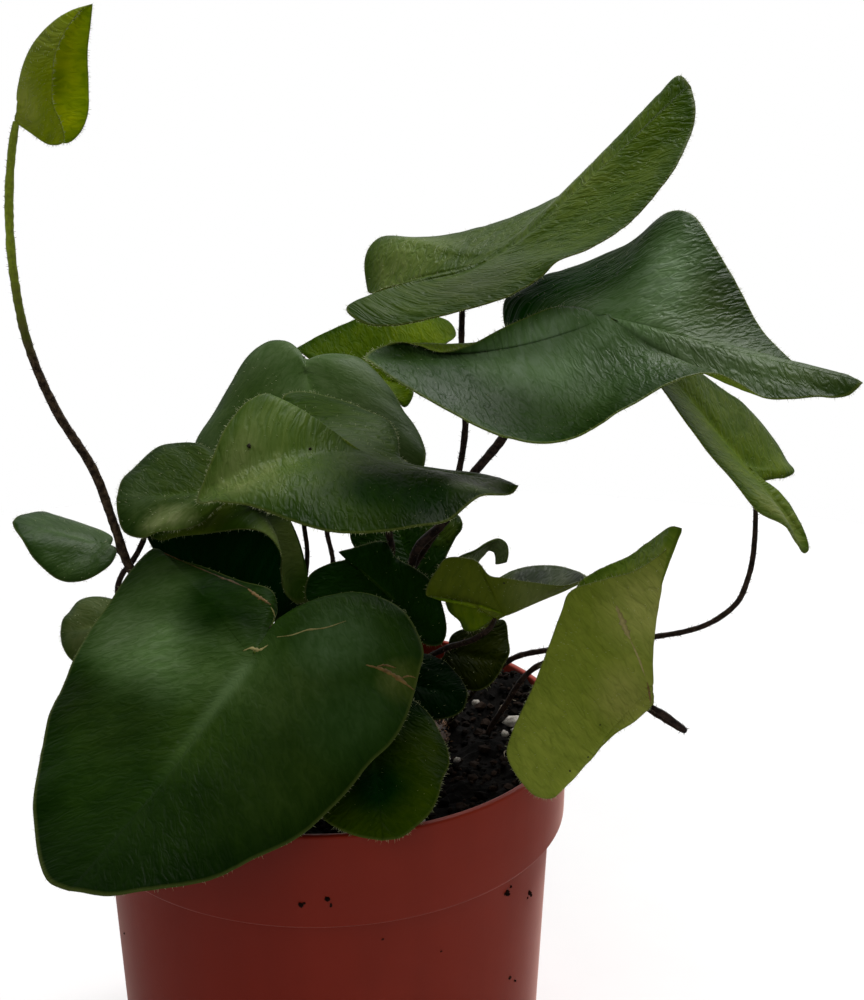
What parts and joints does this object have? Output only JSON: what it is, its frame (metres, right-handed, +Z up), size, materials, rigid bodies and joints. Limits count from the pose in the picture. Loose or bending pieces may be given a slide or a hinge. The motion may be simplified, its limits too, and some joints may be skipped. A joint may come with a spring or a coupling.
{
  "type": "potted heart fern",
  "caption": "Heart fern with glossy heart-shaped fronds on thin dark stipes, growing in a round red-brown plastic nursery pot.",
  "frame": {"origin": "centre of the underside of the pot's base, on the surface that it stands on", "axes": "+Z up along the pot's axis, -Y towards the picture's viewer, +X to the viewer's right"},
  "size_m": [0.1448, 0.1075, 0.2068],
  "materials": {
    "blade": "satin",
    "blade_light": "satin",
    "stipe": "satin",
    "stipe_young": "satin",
    "rhizome": "matte",
    "soil": "matte",
    "pot": "satin"
  },
  "bodies": {
    "root": {"young_blade": "blade_light", "young_stipe": "stipe_young", "left_low_blade": "blade", "left_low_stipe": "stipe", "top_blade": "blade", "top_stipe": "stipe", "upper_right_blade": "blade", "upper_right_stipe": "stipe", "middle_blade": "blade", "middle_stipe": "stipe", "left_blade": "blade", "left_stipe": "stipe", "right_hanging_blade": "blade", "right_hanging_stipe": "stipe", "left_small_blade": "blade", "left_small_stipe": "stipe", "front_blade": "blade", "front_stipe": "stipe", "right_front_blade": "blade_light", "right_front_stipe": "stipe", "inner_dark_blade": "blade", "inner_dark_stipe": "stipe", "inner_olive_blade": "blade", "inner_olive_stipe": "stipe", "folded_blade": "blade", "folded_stipe": "stipe", "inner_right_blade": "blade", "inner_right_stipe": "stipe", "inner_small_blade": "blade", "inner_small_stipe": "stipe", "over_rim_blade": "blade", "over_rim_stipe": "stipe", "back_left_blade": "blade", "back_left_stipe": "stipe", "back_top_blade": "blade_light", "back_top_stipe": "stipe", "hood_blade": "blade", "hood_stipe": "stipe", "curl_blade": "blade", "curl_stipe": "stipe", "rhizome": "rhizome", "soil": "soil", "pot": "pot"}
  },
  "joints": []
}
